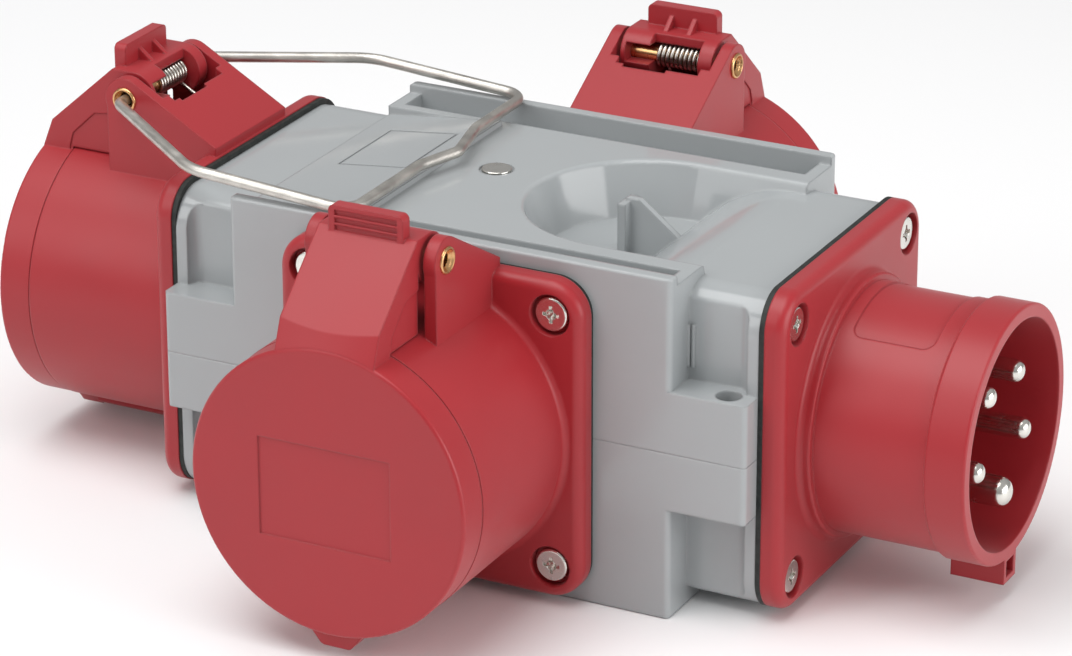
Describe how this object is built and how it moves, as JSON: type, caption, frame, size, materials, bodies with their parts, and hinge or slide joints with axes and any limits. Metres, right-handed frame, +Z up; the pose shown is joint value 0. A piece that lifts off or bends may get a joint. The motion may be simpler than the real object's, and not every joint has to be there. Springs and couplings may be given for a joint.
{
  "type": "portable power distribution box",
  "caption": "Portable power distribution box: a pin inlet on one end feeds lidded sockets on the other faces, in a split grey housing with a wire hanging bail.",
  "frame": {"origin": "centre of the housing's flat bottom face", "axes": "+X to the inlet, -Y to the front socket, +Z up"},
  "size_m": [0.2414, 0.1906, 0.0975],
  "materials": {
    "grey_plastic": "fine satin moulding",
    "red_plastic": "fine satin moulding",
    "black_rubber": "matt",
    "bright_nickel": "bright nickel plate",
    "zinc_steel": "zinc plated",
    "steel_wire": "drawn wire",
    "spring_steel": "drawn wire",
    "brass_tube": "turned",
    "brass_contact": "turned",
    "wire_l1": "brown insulation",
    "wire_l2": "black insulation",
    "wire_l3": "grey insulation",
    "wire_n": "blue insulation",
    "wire_pe": "green and yellow insulation"
  },
  "bodies": {
    "box": {"upper_shell": "grey_plastic", "lower_shell": "grey_plastic", "housing_seal": "black_rubber", "housing_screws": "zinc_steel", "deck_stud": "bright_nickel", "inlet_gasket": "black_rubber", "inlet_body": "red_plastic", "inlet_screws": "bright_nickel", "inlet_contact_carrier": "red_plastic", "inlet_phase_pins": "bright_nickel", "inlet_neutral_pin": "bright_nickel", "inlet_earth_pin": "bright_nickel", "inlet_terminal_screws": "zinc_steel", "front_gasket": "black_rubber", "front_socket_body": "red_plastic", "front_socket_screws": "bright_nickel", "front_contact_carrier": "red_plastic", "front_contact_sleeves": "brass_contact", "front_terminal_screws": "zinc_steel", "front_hinge_pin": "brass_tube", "front_hinge_spring": "spring_steel", "back_gasket": "black_rubber", "back_socket_body": "red_plastic", "back_socket_screws": "bright_nickel", "back_contact_carrier": "red_plastic", "back_contact_sleeves": "brass_contact", "back_terminal_screws": "zinc_steel", "back_hinge_pin": "brass_tube", "back_hinge_spring": "spring_steel", "left_gasket": "black_rubber", "left_socket_body": "red_plastic", "left_socket_screws": "bright_nickel", "left_contact_carrier": "red_plastic", "left_contact_sleeves": "brass_contact", "left_terminal_screws": "zinc_steel", "left_hinge_pin": "brass_tube", "left_hinge_spring": "spring_steel", "conductor_l1": "wire_l1", "conductor_l2": "wire_l2", "conductor_l3": "wire_l3", "conductor_n": "wire_n", "conductor_pe": "wire_pe"},
    "front_lid": {"front_lid": "red_plastic", "front_lid_seal": "black_rubber"},
    "back_lid": {"back_lid": "red_plastic", "back_lid_seal": "black_rubber"},
    "left_lid": {"left_lid": "red_plastic", "left_lid_seal": "black_rubber"},
    "bail": {"bail": "steel_wire"}
  },
  "joints": [
    {"name": "front_lid_hinge", "type": "hinge", "parent": "box", "child": "front_lid", "pos_m": [-0.0012, -0.0697, 0.08675], "axis": [-1, 0, 0], "range_deg": [0, 100], "stiffness_Nm_per_rad": 0.03, "springref_deg": -68.75},
    {"name": "back_lid_hinge", "type": "hinge", "parent": "box", "child": "back_lid", "pos_m": [0.0012, 0.0697, 0.08675], "axis": [1, 0, 0], "range_deg": [0, 100], "stiffness_Nm_per_rad": 0.03, "springref_deg": -68.75},
    {"name": "left_lid_hinge", "type": "hinge", "parent": "box", "child": "left_lid", "pos_m": [-0.0987, 0, 0.08675], "axis": [0, 1, 0], "range_deg": [0, 100], "stiffness_Nm_per_rad": 0.03, "springref_deg": -68.75},
    {"name": "bail_swing", "type": "hinge", "parent": "box", "child": "bail", "pos_m": [-0.0987, 0, 0.08675], "axis": [0, -1, 0], "range_deg": [0, 148]}
  ]
}
